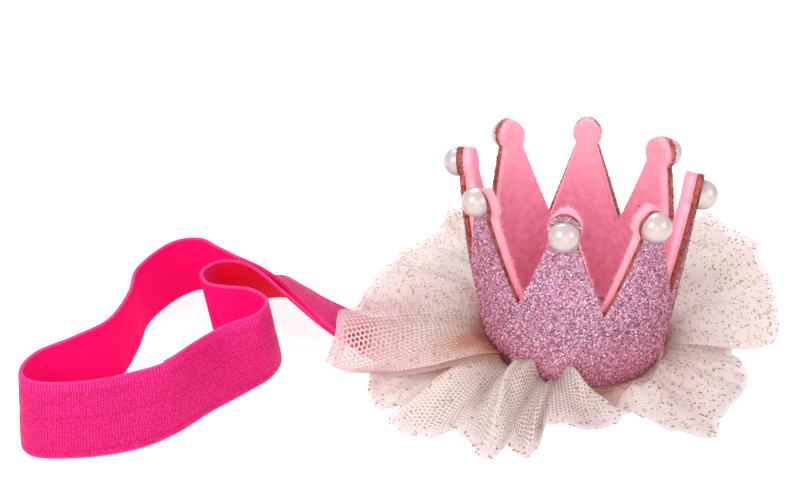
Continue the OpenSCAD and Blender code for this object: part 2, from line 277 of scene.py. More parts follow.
def new_group(name, inputs, outputs):
    """A shader node group with named inputs (name, kind, value) and outputs (name, kind), and its ends."""
    group = bpy.data.node_groups.new(name, "ShaderNodeTree")
    for label, kind, value in inputs:
        socket = group.interface.new_socket(label, in_out="INPUT", socket_type="NodeSocket" + kind)
        if value is not None:
            socket.default_value = value
    for label, kind in outputs:
        group.interface.new_socket(label, in_out="OUTPUT", socket_type="NodeSocket" + kind)
    return group, group.nodes.new("NodeGroupInput").outputs, group.nodes.new("NodeGroupOutput")

# %% [markdown]
# Felt, brushed elastic and cut backing all show short matted fibres: fine streaks over softer
# clouds. One group makes them, from stretched noise at two sizes, and each cloth sets its own colours.

# %% Fibre group
fibres, given, result = new_group(
    "matted_fibres",
    [("Place", "Vector", None), ("Fibre Size", "Float", 0.4), ("Cloud Size", "Float", 5.0),
     ("Light", "Color", (1, 1, 1, 1)), ("Dark", "Color", (0.5, 0.5, 0.5, 1)), ("Contrast", "Float", 1.0)],
    [("Color", "Color"), ("Height", "Float")])
in_mm = node(fibres, "VectorMath", {0: given["Place"], 1: (1 / MM,) * 3}, operation="MULTIPLY").outputs[0]
fine = noisy(in_mm, calc("DIVIDE", 1.0, given["Fibre Size"]), 4.0, 0.65, 1.5)
cloud = noisy(in_mm, calc("DIVIDE", 1.0, given["Cloud Size"]), 2.0)
both = plus(times(fine, 0.6), times(cloud, 0.4))
spread = calc("MULTIPLY_ADD", calc("SUBTRACT", both, 0.5), given["Contrast"], 0.5)
feed(result, {"Color": mixed(clamped(spread), given["Dark"], given["Light"]), "Height": fine})


def matted(spot, fibre, cloud, contrast, light, dark):
    """The fibre group's colour and height for one cloth, sizes in millimetres, colours as on a screen."""
    return node(spot.id_data, "Group", {
        "Place": spot, "Fibre Size": fibre, "Cloud Size": cloud, "Contrast": contrast,
        "Light": colour(*light), "Dark": colour(*dark)}, node_tree=fibres).outputs


print("fibre group nodes:", len(fibres.nodes))

# %% [markdown]
# ## The crown's wall
# The crown is one strip of felt with a glitter sheet laminated to its outside, cut in eight tall
# points that end in round discs, and bent to a flaring ring. Both layers follow one outline, so one
# function places any spot of the wall: which point it belongs to, how far it is to the side, how high,
# and how far in from the glitter face. A cloth simulation would only blur such a crisp cut shape.

# %% Crown sizes
CROWN_R, FLARE, LEAN, TURN = 19.5, 8.4, 4.6, -15.6
VALLEY_H, DISC_H, DISC_R, NECK_W = 18.8, 38.6, 3.3, 5.0
GLITTER_T, FELT_T, GLUE = 1.0, 2.2, 0.1
POINT_H = DISC_H - VALLEY_H
# Each point from the front one round to the right: lean in, sideways turn, extra height
POINTS = np.array([
    (-0.09, 0.05, 0), (-0.08, 0.02, -0.025), (-0.02, -0.03, 0.03), (-0.03, 0, 0),
    (-0.07, 0, 0), (-0.06, 0.02, 0.02), (-0.06, -0.01, 0), (-0.12, -0.05, -0.08)])
SECTOR = 360 / len(POINTS)
tan_flare, tan_lean = math.tan(math.radians(FLARE)), math.tan(math.radians(LEAN))


def wall_radius(height):
    return CROWN_R + tan_flare * height


VALLEY_W = math.radians(SECTOR / 2) * wall_radius(VALLEY_H)


def on_wall(point, side, height, depth):
    """A place on the wall: side in millimetres along it, height above its foot, depth outwards."""
    side, height, depth = np.broadcast_arrays(side, height, np.asarray(depth, float))
    lean, turn, rise = POINTS[point]
    up = np.maximum(0, (height - VALLEY_H) / POINT_H)
    slope = tan_flare + np.where(height > VALLEY_H, lean, 0)
    across = 1 / np.sqrt(1 + slope ** 2)
    radius = wall_radius(height) + lean * POINT_H * up + depth * across
    z = height + rise * POINT_H * up - depth * slope * across * np.minimum(1, height / VALLEY_H)
    width_at = np.minimum(side, VALLEY_W * 2)
    angle = (math.radians(TURN + point * SECTOR) + width_at / wall_radius(np.maximum(height, 0))
             + turn * POINT_H * up / radius)
    return np.stack([radius * np.sin(angle) - tan_lean * z, -radius * np.cos(angle), CROWN_Z + z], -1)


print("points:", len(POINTS), "valley half width", round(VALLEY_W, 2))

# %% [markdown]
# The outline of one point runs from the bottom of the V, up the straight side, in at the neck and round
# the disc. Felt doesn't end in a sharp corner: the cut edge swells softly, so the faces stop short of
# the outline by a small softness, and a rounded rim joins them. The glitter sheet's softness is nearly
# nothing, which leaves its crisp brown edge.

# %% Outline of a point
SIDE_STEPS, DISC_STEPS = 18, 26
neck_angle = math.acos(NECK_W / 2 / DISC_R)
neck_h = DISC_H - DISC_R * math.sin(neck_angle)


def half_outline():
    """Side, height and outward direction along the right half of a point's outline, V to top."""
    rows = [(VALLEY_W, VALLEY_H, 0.0, 1.0)]
    run, climb = VALLEY_W - NECK_W / 2, neck_h - VALLEY_H
    length = math.hypot(run, climb)
    for k in range(1, SIDE_STEPS + 1):
        share = k / SIDE_STEPS
        rows.append((VALLEY_W - run * share, VALLEY_H + climb * share, climb / length, run / length))
    for k in range(1, DISC_STEPS + 1):
        angle = -neck_angle + (math.pi / 2 + neck_angle) * k / DISC_STEPS
        rows.append((DISC_R * math.cos(angle), DISC_H + DISC_R * math.sin(angle), math.cos(angle),
                     math.sin(angle)))
    return np.array(rows)


OUTLINE = half_outline()
print("outline rows of a point:", len(OUTLINE))

# %% [markdown]
# A layer is built of patches: a low ring, eight points inside and outside, and one long rim that
# follows all the outline. Each vertex also keeps how deep it lies in the layer and how far it is from
# the cut edge, which the finishes use.

# %% Crown layer
FACE_COLS, LOW_ROWS = 16, 12


def crown_layer(name, depth_out, depth_in, soft, rim_steps, materials):
    """One closed layer of the wall between two depths; soft rounds its cut edge."""
    patches = []

    def patch(grid, slot, uv, depth, edge, flip=False):
        """Keeps a patch: its places, faces, UV pairs, slots, depths and nearness to the edge."""
        numbers, corners = grid_quads(*grid.shape[:2])
        numbers = numbers + sum(len(kept[0]) for kept in patches)
        pairs = uv[corners[:, :, 0], corners[:, :, 1]]
        if flip:
            numbers, pairs = numbers[:, ::-1], pairs[:, ::-1]
        marks = [np.broadcast_to(mark, grid.shape[:2]).ravel() for mark in (depth, edge)]
        patches.append((grid.reshape(-1, 3), numbers, pairs, np.full(len(numbers), slot), *marks))

    across = np.sin(np.linspace(-1, 1, FACE_COLS + 1) * math.pi / 2)
    edge_side = OUTLINE[:, 0] - OUTLINE[:, 2] * soft
    edge_height = OUTLINE[:, 1] - OUTLINE[:, 3] * soft
    low_heights = np.linspace(0, VALLEY_H - soft, LOW_ROWS)
    for point in range(len(POINTS)):
        middle = math.radians(point * SECTOR) * CROWN_R
        for depth, mark, flip in ((depth_out, 0.0, True), (depth_in, 1.0, False)):
            for heights, halves in ((low_heights, math.radians(SECTOR / 2) * wall_radius(low_heights)),
                                    (edge_height, np.maximum(edge_side, 0))):
                side = halves[:, None] * across[None, :]
                height = np.repeat(heights[:, None], FACE_COLS + 1, 1)
                uv = np.stack([middle + side, height], -1)
                patch(on_wall(point, side, height, depth), 0, uv, mark, 0.0, flip)
        bend = np.linspace(-math.pi / 2, math.pi / 2, rim_steps + 1)
        middle_depth, half_t = (depth_out + depth_in) / 2, (depth_out - depth_in) / 2
        for hand in (1, -1):
            side = hand * (edge_side[:, None] + OUTLINE[:, 2:3] * soft * np.cos(bend)[None, :])
            height = edge_height[:, None] + OUTLINE[:, 3:4] * soft * np.cos(bend)[None, :]
            depth = np.repeat((middle_depth - half_t * np.sin(bend))[None, :], len(OUTLINE), 0)
            run = np.arange(len(OUTLINE))[:, None] + 0 * depth
            uv = np.stack([middle + hand * run, depth], -1)
            mark = (depth_out - depth) / (depth_out - depth_in)
            patch(on_wall(point, side, height, depth), 1, uv, mark, np.cos(bend)[None, :], hand > 0)
        ring = math.radians(SECTOR / 2) * wall_radius(0.0) * across
        side = np.stack([ring, ring])
        depth = np.array([[depth_out], [depth_in]]) + 0 * side
        patch(on_wall(point, side, 0 * side, depth), 1, np.stack([middle + side, depth], -1),
              np.array([[0.0], [1.0]]), 0.5, True)
    *grids, depths, edges = (np.concatenate(kept) for kept in zip(*patches))
    piece = mesh_piece(name, *grids, materials)
    point_values(piece, "depth", depths)
    point_values(piece, "edge", edges)
    weld(piece)
    print(name, "faces:", len(piece.data.polygons))
    return piece

# %% [markdown]
# A finish changes over its piece by where a spot is in the frame, or by a number that the mesh keeps for
# each vertex. A smooth step turns either into a share between two colours, and a height into relief.

# %% Readings for a finish


def object_place(tree):
    """Where a spot is in the frame, in metres."""
    return node(tree, "TexCoord").outputs["Object"]


def kept_value(tree, name):
    """The number that a mesh keeps for each vertex under this name."""
    return node(tree, "Attribute", attribute_name=name).outputs["Fac"]


def axis_of(vector, number):
    """One number of a vector: 0 for x, 1 for y, 2 for z."""
    return node(vector.id_data, "SeparateXYZ", {0: vector}).outputs[number]


def remapped(value, low, high, out_low=0.0, out_high=1.0):
    """value moved smoothly from the span low to high onto the span out_low to out_high."""
    return node(value.id_data, "MapRange", {"Value": value, "From Min": low, "From Max": high,
                                            "To Min": out_low, "To Max": out_high},
                interpolation_type="SMOOTHSTEP").outputs[0]


def relief_of(height, strength, distance):
    """The normal of a surface with bumps of this height, distance in metres."""
    return node(height.id_data, "Bump", {"Height": height, "Strength": strength,
                                         "Distance": distance}).outputs[0]

# %% [markdown]
# ## Felt
# The felt is a soft light pink with matted fibres. It is painted paler towards the tips, a painted light
# from above, and paler at its cut edge, a painted highlight where the fibres stand up. Sheen gives that
# velvety bloom. One small dark speck of dust sits on the inside of the point at the back right.

# %% Felt finish
FELT_OUT = -GLITTER_T - GLUE
PAINTED_LIGHT_FROM, PAINTED_LIGHT_TO, PAINTED_LIGHT_MOST = 14, 42, 0.55
SOIL_PLACE = on_wall(3, 2.8, 25.2, FELT_OUT - FELT_T)

felt, tree, shader = new_material("felt_pink")
spot = object_place(tree)
deep = matted(spot, 0.5, 1.6, 2.6, (246, 164, 188), (222, 108, 142))
pale = matted(spot, 0.45, 1.8, 2.2, (255, 200, 212), (248, 162, 182))
# Painted light: the felt is painted paler higher up the points, and a painted highlight makes it paler along
# the cut edge.
painted_light = remapped(axis_of(spot, 2), (CROWN_Z + PAINTED_LIGHT_FROM) * MM, (CROWN_Z + PAINTED_LIGHT_TO) * MM, 0.0, PAINTED_LIGHT_MOST)
edge_highlight = remapped(kept_value(tree, "edge"), 0.75, 1.0)
cloth = mixed(calc("MAXIMUM", painted_light, edge_highlight), deep["Color"], pale["Color"])
away = node(tree, "VectorMath", {0: spot, 1: Vector(in_frame(SOIL_PLACE))},
            operation="DISTANCE").outputs["Value"]
soil = remapped(away, 0.15 * MM, 0.4 * MM, 0.75, 0.0)
feed(shader, {"Base Color": mixed(soil, cloth, colour(96, 40, 52)), "Roughness": 0.95,
              "Specular IOR Level": 0.1, "Sheen Weight": 0.35, "Sheen Roughness": 0.5,
              "Sheen Tint": colour(255, 190, 205), "Normal": relief_of(deep["Height"], 0.6, 0.0003)})
print("nodes of the felt:", len(tree.nodes))

# %% Felt wall
FELT_SOFT = 0.35
felt_wall = crown_layer("felt_wall", FELT_OUT, FELT_OUT - FELT_T, FELT_SOFT, 10, [felt, felt])
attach(felt_wall, "root")
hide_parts("crown_felt")

# %% [markdown]
# A cut felt edge is never clean: short fibres stand out of it all along. They are made as slim single
# triangles, each leaning its own way.

# %% Loose fibres on the cut edge
rng = np.random.default_rng(11)
FIBRES, FIBRE_HALF = 14000, 0.05
outline_run = np.arange(len(OUTLINE))
fibre_places = []
for point in range(len(POINTS)):
    count = FIBRES // len(POINTS)
    row = rng.uniform(0, len(OUTLINE) - 1, count)
    side, height, out_side, out_up = (np.interp(row, outline_run, OUTLINE[:, k]) for k in range(4))
    hand = rng.choice([-1, 1], count)
    bend = rng.uniform(-1.2, 1.2, count)
    depth = FELT_OUT - FELT_T / 2 - FELT_T / 2 * np.sin(bend)
    sunk = FELT_SOFT * (1 - np.cos(bend)) + 0.05
    reach = rng.uniform(0.2, 0.65, count)
    drift = rng.normal(0, 0.3, (3, count))
    root = [side - out_side * sunk, height - out_up * sunk, depth]
    tip = [root[0] + out_side * reach + drift[0], root[1] + out_up * reach + drift[1],
           root[2] - np.sin(bend) * reach * 0.6 + drift[2]]
    ends = [(root[0] + shift * out_up, root[1] + shift * out_side, root[2])
            for shift in (-FIBRE_HALF, FIBRE_HALF)] + [tip]
    fibre_places.append(np.stack([on_wall(point, hand * s, h, d) for s, h, d in ends], 1))
fibre_places = np.concatenate(fibre_places)
fuzz, tree, shader = new_material("felt_fuzz")
feed(shader, {"Base Color": colour(255, 198, 210), "Roughness": 0.9, "Specular IOR Level": 0.1})
felt_fuzz = mesh_piece("felt_fuzz", fibre_places.reshape(-1, 3),
                       np.arange(len(fibre_places) * 3).reshape(-1, 3), materials=[fuzz], smooth=False)
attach(felt_fuzz, "root")
print("loose fibres:", len(fibre_places))

# %% [markdown]
# ## Glitter sheet
# The sheet is a brown foamy backing with chips of coloured foil stuck all over its face. Its cut edge
# shows that backing, rust brown, with a grey line where the foil ends.

# %% Glitter backing and cut edge


def toned(value, tones, interpolation="LINEAR"):
    """The colour at value in a table of places from 0 to 1 and their screen colours."""
    made = node(value.id_data, "ValToRGB", {"Fac": value})
    made.color_ramp.interpolation = interpolation
    while len(made.color_ramp.elements) < len(tones):
        made.color_ramp.elements.new(0.5)
    for element, (place, shade) in zip(made.color_ramp.elements, tones):
        element.position = place
        element.color = colour(*shade)
    return made.outputs["Color"]


glitter_ground, tree, shader = new_material("glitter_ground")
cells = node(tree, "TexVoronoi", {"Vector": object_place(tree), "Scale": 2200.0})
crumb = node(tree, "SeparateColor", {0: cells.outputs["Color"]}).outputs[0]
feed(shader, {"Base Color": toned(crumb, [(0.0, (128, 62, 92)), (1.0, (206, 136, 164))]), "Roughness": 0.55})

cut_edge, tree, shader = new_material("glitter_cut_edge")
crumb = matted(object_place(tree), 0.8, 1.6, 4.5, (190, 94, 68), (106, 36, 28))
line = remapped(kept_value(tree, "depth"), 0.08, 0.18, 1.0, 0.0)
feed(shader, {"Base Color": mixed(line, crumb["Color"], colour(124, 92, 92)), "Roughness": 0.9,
              "Normal": relief_of(crumb["Height"], 0.8, 0.0003)})
print("finishes of the glitter sheet:", glitter_ground.name, cut_edge.name)

# %% Glitter sheet
glitter_sheet = crown_layer("glitter_sheet", 0.0, -GLITTER_T, 0.12, 4, [glitter_ground, cut_edge])
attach(glitter_sheet, "root")
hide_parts("crown_glitter")

# %% [markdown]
# The sparkle comes from the chips themselves. Each is a small five-sided chip of foil, tilted its own
# way, so that a few flash at the light and most stay darker. Towards the crown's foot they are painted
# pinker, a painted reflection of the pink light bounced up there. They are scattered on a jittered grid,
# closer than their own width, and only where the sheet is.

# %% Foil chips
CHIP_PITCH, CHIP_R, CHIP_SIDES, CHIP_JITTER = 0.345, 0.21, 5, 0.09


def unit(vectors):
    return vectors / np.linalg.norm(vectors, axis=-1, keepdims=True)


def half_width_at(height):
    """Half width of a point at a height, from its outline."""
    low = np.interp(height, OUTLINE[:, 1], OUTLINE[:, 0])
    return np.where(height <= VALLEY_H, math.radians(SECTOR / 2) * wall_radius(height), low)


def chips(centres, normals, radii, tilt):
    """Flat chips at centres, each tilted by up to tilt radians from its normal."""
    count = len(centres)
    up = unit(normals + rng.normal(0, tilt, (count, 3)))
    first = unit(np.cross(up, rng.normal(0, 1, (count, 3))))
    second = np.cross(up, first)
    angle = (np.arange(CHIP_SIDES) * 2 * math.pi / CHIP_SIDES)[None, :, None]
    ring = first[:, None] * np.cos(angle) + second[:, None] * np.sin(angle)
    places = centres[:, None] + ring * radii[:, None, None]
    return places.reshape(-1, 3), np.arange(count * CHIP_SIDES).reshape(count, CHIP_SIDES)


centres, normals = [], []
for point in range(len(POINTS)):
    heights = np.arange(0.25, DISC_H + DISC_R - 0.2, CHIP_PITCH * 0.87)
    for row, height in enumerate(heights):
        half = float(half_width_at(height)) - 0.12
        side = np.arange(-half + (row % 2) * CHIP_PITCH / 2, half, CHIP_PITCH)
        side = side + rng.normal(0, CHIP_JITTER, len(side))
        high = height + rng.normal(0, CHIP_JITTER, len(side))
        side = np.clip(side, -half, half)
        here = on_wall(point, side, high, 0.05)
        centres.append(here)
        normals.append(on_wall(point, side, high, 1.05) - here)
centres, normals = np.concatenate(centres), np.concatenate(normals)
centres = centres + normals * rng.uniform(0, 0.16, (len(centres), 1))
chip_places, chip_faces = chips(centres, normals, rng.uniform(0.75, 1.15, len(centres)) * CHIP_R, 0.26)
print("foil chips:", len(chip_faces))

# %% [markdown]
# Each chip takes one of a few foil colours at random, a group of them dark, most lilac and a few nearly
# white: partly the foil's own colours, partly painted reflection and painted glints. Seen from the side
# the foil turns pinker.

# %% Foil finish
BOUNCE_FROM, BOUNCE_TO, BOUNCE_MOST = 1, 14, 0.38
# Partly painted light: the darkest and the nearly white tones stand in part for chips that reflect little or
# flash.
FOIL_TONES = [(0.0, (138, 84, 116)), (0.10, (170, 112, 142)), (0.28, (192, 146, 170)),
              (0.54, (208, 168, 188)), (0.80, (222, 186, 204)), (0.92, (204, 116, 148)),
              (0.985, (255, 240, 250))]

foil, tree, shader = new_material("glitter_foil")
tone = toned(node(tree, "NewGeometry").outputs["Random Per Island"], FOIL_TONES, "CONSTANT")
sideways = remapped(node(tree, "LayerWeight", {"Blend": 0.5}).outputs["Facing"], 0.25, 0.85)
# Painted reflection: chips near the crown's foot are tinted towards the pink light bounced onto them.
painted_bounce = remapped(axis_of(object_place(tree), 2), (CROWN_Z + BOUNCE_FROM) * MM, (CROWN_Z + BOUNCE_TO) * MM,
                BOUNCE_MOST, 0.0)
tone = mixed(sideways, mixed(painted_bounce, tone, colour(255, 150, 176)), colour(255, 200, 214), "MULTIPLY")
feed(shader, {"Base Color": tone, "Metallic": 0.2, "Roughness": 0.5})
glitter_chips = mesh_piece("glitter_chips", chip_places, chip_faces, materials=[foil], smooth=False)
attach(glitter_chips, "root")
print("foil colours:", len(FOIL_TONES))

# %% [markdown]
# ## Pearls
# The half pearls keep their solid form. Their lustre is a warm white under a clear coat. Towards the rim
# they are painted a darker pinkish grey, a painted reflection and shade.

# %% Pearl lustre
pearl, tree, shader = new_material("pearl_lustre")
body = mixed(noisy(object_place(tree), 260.0, 2.0), colour(182, 162, 160), colour(200, 184, 181))
# Painted reflection and shade: the rim is painted darker pinkish grey where the pearl turns away.
rim = remapped(node(tree, "LayerWeight", {"Blend": 0.5}).outputs["Facing"], 0.35, 0.95)
feed(shader, {"Base Color": mixed(rim, body, colour(156, 134, 136)), "Roughness": 0.3, "Metallic": 0.15,
              "Coat Weight": 0.8, "Coat Roughness": 0.2})
for k in range(1, len(POINTS) + 1):
    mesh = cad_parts[f"pearl_{k}"].data
    mesh.materials.clear()
    mesh.materials.append(pearl)
    mesh.polygons.foreach_set("use_smooth", np.full(len(mesh.polygons), True))
print("pearls:", len(POINTS))

# %% [markdown]
# ## Felt disc
# The plain disc under the tulle carries crown, ruffle and band. It is hardly seen, and has the felt's
# own finish.

# %% Felt disc
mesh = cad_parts["felt_base"].data
mesh.materials.clear()
mesh.materials.append(felt)
print("felt disc:", round((disc_high.x - disc_low.x) / MM, 1), "mm across")

# %% [markdown]
# ## Elastic
# The band is fold-over elastic: a flat knitted strip, ribbed outside with a fold groove along its
# middle, and brushed smooth inside. It stands on its edge in one loop, with an S-curl at the front,
# and runs in under the crown. The route is a short table, one row per bend: where the middle of the
# strip is, how high its lower edge lies, and which way its upper edge leans. A smooth curve runs
# through the rows, and the strip's section is swept along it.

# %% Bends of the elastic
REACH, BAND_W = 112.0, 15.2


def flat_run(lift, *places):
    """Rows where the strip lies flat and straight under the crown."""
    return [(x, 0, lift, 0, -1) for x in places]


BAND = np.array([
    # x, y, lift, lean_x, lean_y: shares of REACH, of the upper run's height, and of the width
    *flat_run(1, 0.125, 0.10, 0.05, -0.05, -0.18), (-0.30, 0.005, 1, 0, -1), (-0.40, 0.015, 1, 0.02, -0.997),
    (-0.485, 0.055, 1.9, 0.03, -0.97), (-0.55, 0.128, 1.5, 0.08, -0.935), (-0.60, 0.185, 1, 0.12, -0.88),
    (-0.64, 0.185, 0.3, 0.08, -0.68), (-0.685, 0.17, 0, 0, -0.35), (-0.73, 0.185, 0, 0, -0.15),
    (-0.775, 0.213, 0, 0, -0.06), (-0.83, 0.185, 0, -0.05, 0.05), (-0.875, 0.09, 0, -0.05, 0.02),
    (-0.875, -0.005, 0, 0, 0.05), (-0.89, -0.10, 0, -0.02, 0.10), (-0.94, -0.16, 0, -0.03, 0.17),
    (-0.995, -0.21, 0, -0.02, 0.24), (-1.01, -0.265, 0, 0.05, 0.28), (-0.975, -0.297, 0, 0.05, 0.40),
    (-0.89, -0.295, 0, 0, 0.44), (-0.815, -0.27, 0, -0.12, 0.50), (-0.755, -0.24, 0, -0.10, 0.33),
    (-0.71, -0.18, 0, -0.22, 0.34), (-0.66, -0.12, 0, -0.33, 0.41), (-0.605, -0.08, 0, -0.20, 0.15),
    (-0.595, -0.027, 0, -0.15, 0.05), (-0.633, 0.009, 0, -0.10, 0.05), (-0.69, 0.02, 0, -0.07, 0.03),
    (-0.723, 0.035, 0, -0.10, 0), (-0.739, 0.074, 0, -0.12, 0), (-0.723, 0.112, 0, -0.05, -0.03),
    (-0.69, 0.13, 0, 0.07, -0.16), (-0.645, 0.138, 0.1, 0.12, -0.5), (-0.575, 0.116, 0.5, 0.04, -0.84),
    (-0.51, 0.075, 0.2, 0, -0.94), (-0.445, 0.037, 0, -0.03, -0.98), (-0.36, 0.006, 0.15, 0, -1),
    *flat_run(0, -0.18, -0.05, 0.05, 0.10, 0.125, 0.138, 0.144, 0.148),
    *flat_run(0.15, 0.153), *flat_run(0.5, 0.155), *flat_run(0.85, 0.153),
    *flat_run(1, 0.148, 0.144, 0.138)])
print("bends of the elastic:", len(BAND))

# %% [markdown]
# The curve is walked at even steps. At each station three directions are kept: along the strip, up its
# width and out of its face.

# %% Route of the elastic
ROUTE_STEPS, STATION_STEP = 24, 0.55


def smooth_ring(rows, steps):
    """A closed smooth curve through rows, with steps places from each row to the next."""
    t = (np.arange(steps) / steps)[None, :, None]
    a, b, c, d = (np.roll(rows, -k, 0)[:, None] for k in (-1, 0, 1, 2))
    places = b + t / 2 * (c - a + t * (2 * a - 5 * b + 4 * c - d + t * (3 * (b - c) + d - a)))
    return places.reshape(-1, rows.shape[1])


rise = np.sqrt(np.maximum(0, 1 - BAND[:, 3] ** 2 - BAND[:, 4] ** 2))
height = BAND[:, 2] * RUN_Z + rise * BAND_W / 2 + np.sqrt(1 - rise ** 2) * BAND_T / 2
route = np.column_stack([BAND[:, 0] * REACH, BAND[:, 1] * REACH, height, BAND[:, 3], BAND[:, 4], rise])
route = smooth_ring(route, ROUTE_STEPS)
gaps = np.linalg.norm(np.roll(route, -1, 0)[:, :3] - route[:, :3], axis=1)
run = np.concatenate([[0], np.cumsum(gaps)])
BAND_LENGTH = float(run[-1])
stations = int(BAND_LENGTH / STATION_STEP)
at = np.arange(stations) * BAND_LENGTH / stations
closed = np.vstack([route, route[:1]])
route = np.column_stack([np.interp(at, run, closed[:, k]) for k in range(6)])
band_middle, band_up = route[:, :3], unit(route[:, 3:])
band_along = unit(np.roll(band_middle, -1, 0) - np.roll(band_middle, 1, 0))
band_out = unit(np.cross(band_along, band_up))
print("elastic length", round(BAND_LENGTH, 1), "mm, stations", stations)

# %% [markdown]
# The section is drawn once, from the lower edge up the outside, over the upper edge and down the
# inside: a ladder-stitched border on top, two ribbed fields, the fold groove between them and a smooth
# lower border. Across is the share of the width from the lower edge, out is how far the face stands.

# %% Section of the elastic
OUTER_FACE = np.array([
    # across, out in millimetres
    (0.030, 0.40), (0.05, 0.44), (0.085, 0.44), (0.098, 0.38), (0.112, 0.47), (0.15, 0.50), (0.22, 0.50),
    (0.29, 0.50), (0.36, 0.50), (0.415, 0.49), (0.432, 0.44), (0.455, 0.42), (0.48, 0.41), (0.505, 0.41),
    (0.522, 0.40), (0.535, 0.46), (0.56, 0.50), (0.62, 0.50), (0.69, 0.50), (0.76, 0.50), (0.83, 0.50),
    (0.865, 0.46), (0.88, 0.50), (0.92, 0.49), (0.95, 0.47), (0.972, 0.42)])
INNER_FACE = np.array([
    (0.972, -0.42), (0.93, -0.48), (0.85, -0.5), (0.72, -0.5), (0.58, -0.49), (0.5, -0.46), (0.42, -0.49),
    (0.28, -0.5), (0.15, -0.5), (0.07, -0.48), (0.030, -0.40)])
EDGE_STEPS = 5


def edge_round(across, out):
    """A half round edge of the strip, from one face to the other."""
    bend = np.linspace(0, math.pi, EDGE_STEPS + 2)[1:-1]
    sign = 1 if across > 0.5 else -1
    width = (1 - across) if across > 0.5 else across
    return np.column_stack([across + sign * width * np.sin(bend), sign * out * np.cos(bend)])


section = np.vstack([OUTER_FACE, edge_round(0.972, 0.42), INNER_FACE, edge_round(0.030, 0.40)])
OUTER_END = len(OUTER_FACE) - 1
INNER_START = len(OUTER_FACE) + EDGE_STEPS
INNER_END = INNER_START + len(INNER_FACE) - 1
across_mm = (section[:, 0] - 0.5) * BAND_W
print("places round the section:", len(section))

# %% [markdown]
# Two things change the section on its way. Where the far strand twists flat its near border is cupped
# up, so the strip dips behind it. At the seam that closes the loop one end is stitched over the other,
# a little higher and thicker.

# %% Cup, seam and sweep
CUP_FROM, CUP_TO, CUP_FADE, CUP_DEPTH = 46.0, 103.0, 12, 1.3
dip = np.interp(section[:, 0], [0.4, 0.62, 0.8, 0.93, 1.0], [0, 0.35, 0.85, 1.0, 0.0]) * CUP_DEPTH
where = np.interp(at, [CUP_FROM, CUP_FROM + CUP_FADE, CUP_TO - CUP_FADE, CUP_TO], [0, 1, 1, 0])
lift_off = section[None, :, 1] - where[:, None] * dip[None, :]
SEAM_ROW, SEAM_STEP, SEAM_LAP, SEAM_THICK = 24, 0.35, 7.0, 0.12
past = at - run[SEAM_ROW * ROUTE_STEPS]
overlap = np.clip((past + 0.4) / 0.5, 0, 1) * np.clip((SEAM_LAP - past) / SEAM_LAP, 0, 1)
across_mm = across_mm[None, :] + SEAM_STEP * overlap[:, None] * np.clip(section[None, :, 0] * 2 - 1, 0, 1)
lift_off = lift_off + SEAM_THICK * overlap[:, None] * (section[None, :, 1] > 0)
places = (band_middle[:, None] + band_up[:, None] * across_mm[:, :, None]
          + band_out[:, None] * lift_off[:, :, None])
numbers, corners = grid_quads(stations, len(section), True, True)
uvs = np.stack([corners[:, :, 0] * (BAND_LENGTH / stations),
                section[corners[:, :, 1] % len(section), 0] * BAND_W], -1)
first = corners[:, 0, 1]
slots = np.where(first < OUTER_END, 0, np.where((first >= INNER_START) & (first < INNER_END), 1, 2))
print("faces of the elastic:", len(numbers))

# %% [markdown]
# Ribs run across the strip at a pitch of about two thirds of a millimetre. A group draws them from the
# UV map: rows of small raised loops, each rib's a little higher than the last, which gives the faint
# slanting grain, with a height for bump and colour. The stitched borders use it at a coarser pitch.

# %% Rib group
ribs, given, result = new_group(
    "knit_ribs",
    [("Place", "Vector", None), ("Pitch", "Float", 0.66), ("Loop", "Float", 0.55), ("Break", "Float", 0.5)],
    [("Height", "Float")])
turn_x = calc("DIVIDE", axis_of(given["Place"], 0), given["Pitch"])
odd = times(calc("FLOOR", turn_x), 0.38)
turn_y = plus(calc("DIVIDE", axis_of(given["Place"], 1), given["Loop"]), odd)
rib = calc("MULTIPLY_ADD", calc("COSINE", times(turn_x, 2 * math.pi)), -0.5, 0.5)
loop = calc("MULTIPLY_ADD", calc("COSINE", times(turn_y, 2 * math.pi)), 0.5, 0.5)
feed(result, {"Height": times(rib, calc("SUBTRACT", 1.0, times(given["Break"], loop)))})


def knitted(place, pitch, loop, broken):
    """The height of ribs at a pitch, each broken into loops, in millimetres."""
    return node(place.id_data, "Group", {"Place": place, "Pitch": pitch, "Loop": loop, "Break": broken},
                node_tree=ribs).outputs["Height"]


print("rib group nodes:", len(ribs.nodes))

# %% [markdown]
# The pink is a very saturated dye. Where two stretches face each other the light bounces between them
# and turns red, which the renderer works out by itself from the true colour. The satin ribs reflect
# light with a lilac tint, and the thin rolled edges are paler. In the tight curl the ribs close up, so
# there the satin shine goes, and the deep red there is painted shade for the light bounced in the curl.

# %% Ribbed face of the elastic


def flat_place(tree):
    """Where a spot is on its sheet, in millimetres."""
    return node(tree, "UVMap", uv_map="millimetres").outputs[0]


def between(value, low, high, soft):
    """1 where value lies between low and high, with soft borders."""
    return times(remapped(value, low - soft, low + soft), remapped(value, high - soft, high + soft, 1.0, 0.0))


